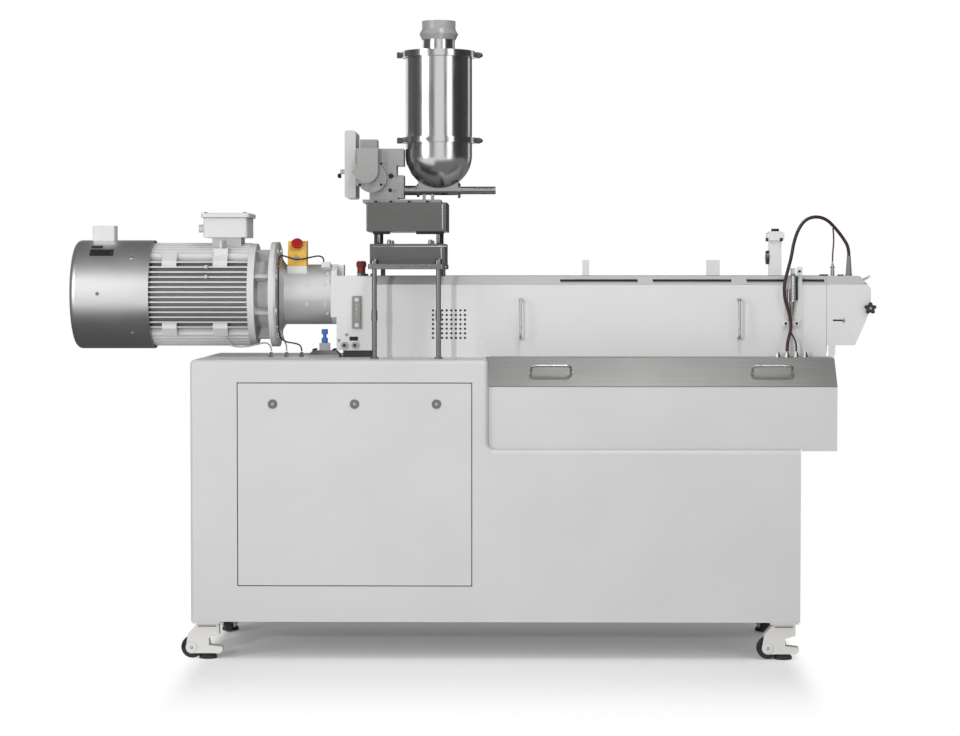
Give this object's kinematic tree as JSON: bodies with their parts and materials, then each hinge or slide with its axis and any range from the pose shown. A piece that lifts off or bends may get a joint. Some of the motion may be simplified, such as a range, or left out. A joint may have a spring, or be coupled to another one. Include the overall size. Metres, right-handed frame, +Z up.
{
  "type": "plastic extruder",
  "caption": "Twin-screw compounding extruder on a castered cabinet, with finned motor, gearbox, hooded barrel and a hopper feeder on a weighing stand.",
  "frame": {"origin": "floor level, under the middle of the machine's box", "axes": "+X along the machine from the motor to the discharge end, +Y from the side with the door to the back, +Z up"},
  "size_m": [2.6544, 0.753, 2.0846],
  "materials": {
    "cabinet_paint": "satin light grey powder coat",
    "hood_paint": "satin pale grey metallic paint",
    "stainless": "brushed stainless sheet",
    "polished": "polished stainless",
    "dark_steel": "brushed dark steel",
    "black_plastic": "black moulded plastic",
    "machined": "machined steel",
    "gearbox_paint": "light grey enamel on a casting",
    "dark_base": "dark grey enamel",
    "glass_tube": "oil level glass in its frame",
    "dark_red": "dark red moulded cap",
    "blue_plastic": "blue sensor bodies",
    "motor_paint": "light grey motor enamel",
    "cowl_metal": "satin grey metallic sheet",
    "yellow_plastic": "yellow moulded box",
    "red_plastic": "red push button",
    "feeder_paint": "warm grey hammered enamel",
    "rubber": "black rubber",
    "sleeve_plastic": "translucent grey flexible sleeve",
    "caster_paint": "off-white enamel on a casting",
    "wheel_plastic": "black nylon wheel",
    "cable_brown": "reddish brown braided sheath",
    "cable_black": "black cable sheath",
    "cable_light": "light grey cable sheath"
  },
  "bodies": {
    "machine": {"cabinet_body": "cabinet_paint", "cabinet_door": "cabinet_paint", "door_locks": "machined", "duct_body": "cabinet_paint", "duct_lid": "stainless", "bow_handles": "polished", "process_hood": "hood_paint", "barrel": "machined", "die_head": "machined", "discharge_hood": "hood_paint", "hand_knobs": "black_plastic", "support_post": "machined", "wiring_panel": "stainless", "plug_connectors": "polished", "cable_glands": "machined", "gearbox_housing": "gearbox_paint", "gearbox_base": "dark_base", "sight_glass": "glass_tube", "breather_cap": "dark_red", "sensor_block": "machined", "level_sensors": "blue_plastic", "coupling_lantern": "gearbox_paint", "motor_body": "motor_paint", "fan_cowl": "cowl_metal", "motor_boxes": "motor_paint", "stop_box": "yellow_plastic", "stop_button": "red_plastic", "stand_rods": "polished", "stand_plate": "machined", "scale_boxes": "dark_steel", "rubber_mounts": "rubber", "feeder_drive": "feeder_paint", "control_box": "feeder_paint", "hopper_shell": "polished", "clamp_bands": "polished", "hopper_lid": "polished", "inlet_sleeve": "sleeve_plastic", "screw_tube": "polished", "caster_plates": "caster_paint", "probe_cable": "cable_brown", "probe_cable_tail": "cable_black", "probe_cable_branch": "cable_black", "stop_cable": "cable_black", "motor_cable": "cable_light", "flange_cable": "cable_light"},
    "swivel_front_left": {"caster_housing_front_left": "caster_paint"},
    "wheel_front_left": {"caster_wheel_front_left": "wheel_plastic"},
    "swivel_front_right": {"caster_housing_front_right": "caster_paint"},
    "wheel_front_right": {"caster_wheel_front_right": "wheel_plastic"},
    "swivel_rear_left": {"caster_housing_rear_left": "caster_paint"},
    "wheel_rear_left": {"caster_wheel_rear_left": "wheel_plastic"},
    "swivel_rear_right": {"caster_housing_rear_right": "caster_paint"},
    "wheel_rear_right": {"caster_wheel_rear_right": "wheel_plastic"}
  },
  "joints": [
    {"name": "swivel_front_left_turn", "type": "hinge", "parent": "machine", "child": "swivel_front_left", "pos_m": [-0.85417, -0.3235, 0.11], "axis": [0, 0, 1], "continuous": true},
    {"name": "wheel_front_left_roll", "type": "hinge", "parent": "swivel_front_left", "child": "wheel_front_left", "pos_m": [-0.90417, -0.3235, 0.037], "axis": [0, 1, 0], "continuous": true},
    {"name": "swivel_front_right_turn", "type": "hinge", "parent": "machine", "child": "swivel_front_right", "pos_m": [1.00583, -0.3235, 0.11], "axis": [0, 0, 1], "continuous": true},
    {"name": "wheel_front_right_roll", "type": "hinge", "parent": "swivel_front_right", "child": "wheel_front_right", "pos_m": [0.95583, -0.3235, 0.037], "axis": [0, 1, 0], "continuous": true},
    {"name": "swivel_rear_left_turn", "type": "hinge", "parent": "machine", "child": "swivel_rear_left", "pos_m": [-0.85417, 0.3265, 0.11], "axis": [0, 0, 1], "continuous": true},
    {"name": "wheel_rear_left_roll", "type": "hinge", "parent": "swivel_rear_left", "child": "wheel_rear_left", "pos_m": [-0.85417, 0.2765, 0.037], "axis": [1, 0, 0], "continuous": true},
    {"name": "swivel_rear_right_turn", "type": "hinge", "parent": "machine", "child": "swivel_rear_right", "pos_m": [1.00583, 0.3265, 0.11], "axis": [0, 0, 1], "continuous": true},
    {"name": "wheel_rear_right_roll", "type": "hinge", "parent": "swivel_rear_right", "child": "wheel_rear_right", "pos_m": [1.00583, 0.2765, 0.037], "axis": [1, 0, 0], "continuous": true}
  ]
}
